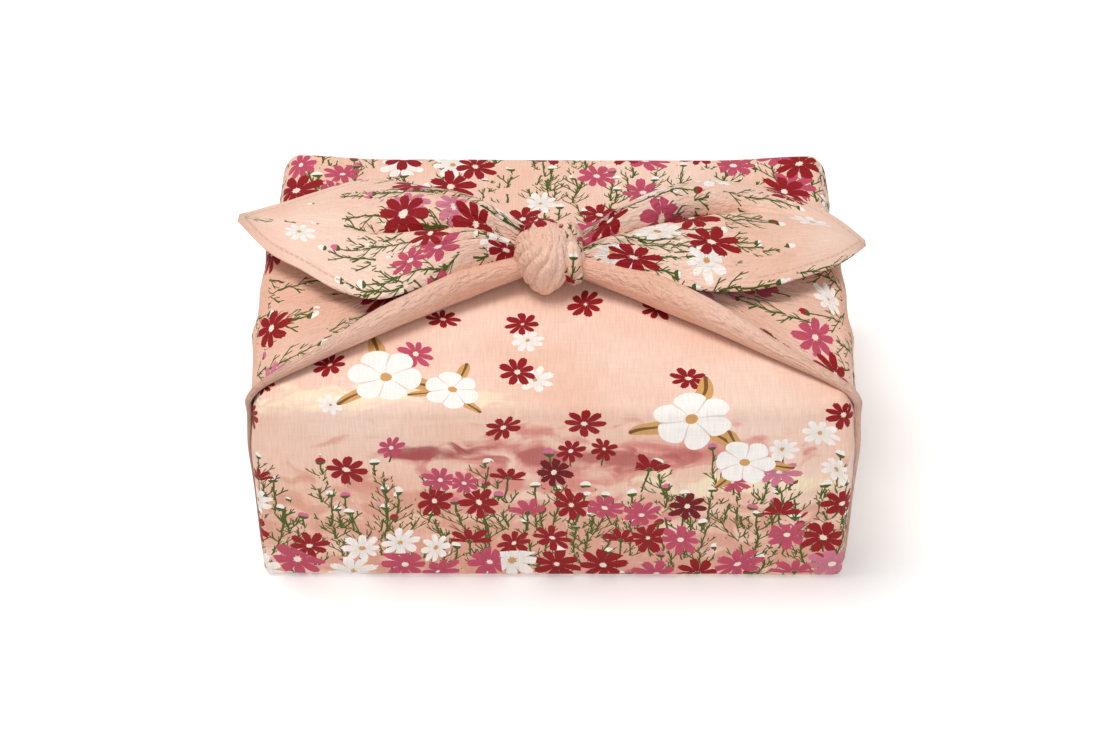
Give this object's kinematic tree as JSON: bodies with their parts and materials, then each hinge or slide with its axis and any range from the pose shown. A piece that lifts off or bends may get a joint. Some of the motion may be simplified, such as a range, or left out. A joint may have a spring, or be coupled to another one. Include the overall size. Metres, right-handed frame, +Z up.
{
  "type": "furoshiki wrapped box",
  "caption": "Square printed furoshiki folded round a flat rectangular box and tied in a knot on top, its free corners lying open to each side like leaves.",
  "frame": {"origin": "centre of the flat underside, on the surface it rests on", "axes": "+Z up, +X towards the right-hand free corner as seen from the front, -Y out of the front face"},
  "size_m": [0.2469, 0.1595, 0.1169],
  "materials": {
    "printed_cloth": "plain-weave cloth in peach pink with a cosmos flower print, slight sheen",
    "box_board": "plain light wood, unvarnished"
  },
  "bodies": {
    "root": {"furoshiki_cloth": "printed_cloth", "gift_box": "box_board"}
  },
  "joints": []
}
